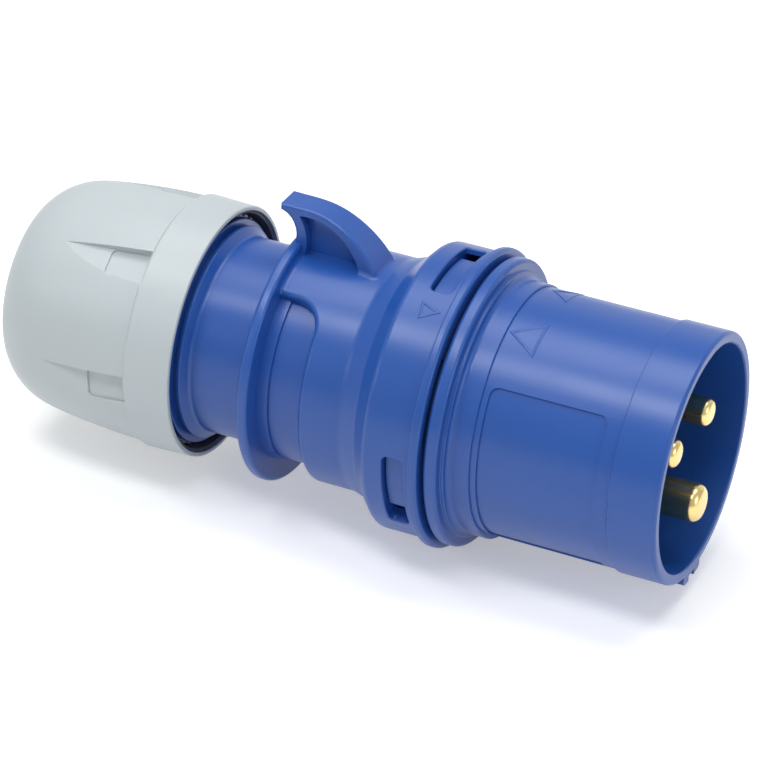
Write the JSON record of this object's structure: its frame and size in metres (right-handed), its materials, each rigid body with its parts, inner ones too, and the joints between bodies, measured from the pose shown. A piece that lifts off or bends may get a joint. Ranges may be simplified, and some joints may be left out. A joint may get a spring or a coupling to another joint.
{
  "type": "industrial pin and sleeve plug",
  "caption": "Round blue industrial pin and sleeve plug with brass contacts in an open sleeve, bayonet handle with thumb hook, and a grey cable gland cap.",
  "frame": {"origin": "centre of the mouth of the sleeve, on the plug's axis, in the plane of the sleeve's front rim", "axes": "+X along the plug's axis out of the mouth, +Z towards the thumb hook, so the keyway ridge and the earth contact are at -Z"},
  "size_m": [0.1262, 0.0528, 0.0558],
  "materials": {
    "blue_plastic": "satin",
    "grey_plastic": "satin",
    "brass": "polished",
    "steel": "zinc plated",
    "insulator": "moulded",
    "pale_plastic": "translucent moulded",
    "black_rubber": "soft"
  },
  "bodies": {
    "handle": {"rear_handle": "blue_plastic", "clamp_cage": "pale_plastic", "gland_seal": "black_rubber", "ratchet_ring": "pale_plastic"},
    "front": {"front_shroud": "blue_plastic", "contact_carrier": "insulator", "carrier_screws": "steel", "carrier_cover": "insulator", "housing_seal": "black_rubber", "pin_line": "brass", "pin_neutral": "brass", "pin_earth": "brass", "terminal_frame_line": "steel", "terminal_frame_neutral": "steel", "terminal_frame_earth": "steel", "clamp_leaf_line": "steel", "clamp_leaf_neutral": "steel", "clamp_leaf_earth": "steel", "terminal_screws": "steel"},
    "gland_slider": {"slip_ring": "pale_plastic"},
    "gland": {"gland_nut": "grey_plastic", "neck_seal": "black_rubber"}
  },
  "joints": [
    {"name": "housing_twist", "type": "hinge", "parent": "handle", "child": "front", "pos_m": [-0.045, 0, 0], "axis": [1, 0, 0], "range_deg": [-36, 6]},
    {"name": "gland_advance", "type": "slide", "parent": "handle", "child": "gland_slider", "axis": [1, 0, 0], "range_m": [-0.0034, 0.0027]},
    {"name": "gland_turn", "type": "hinge", "parent": "gland_slider", "child": "gland", "pos_m": [-0.105, 0, 0], "axis": [1, 0, 0], "range_deg": [-300, 240]}
  ],
  "couplings": [
    {"joint": "gland_advance", "follows": "gland_turn", "m_per_rad": 0.00063662}
  ]
}
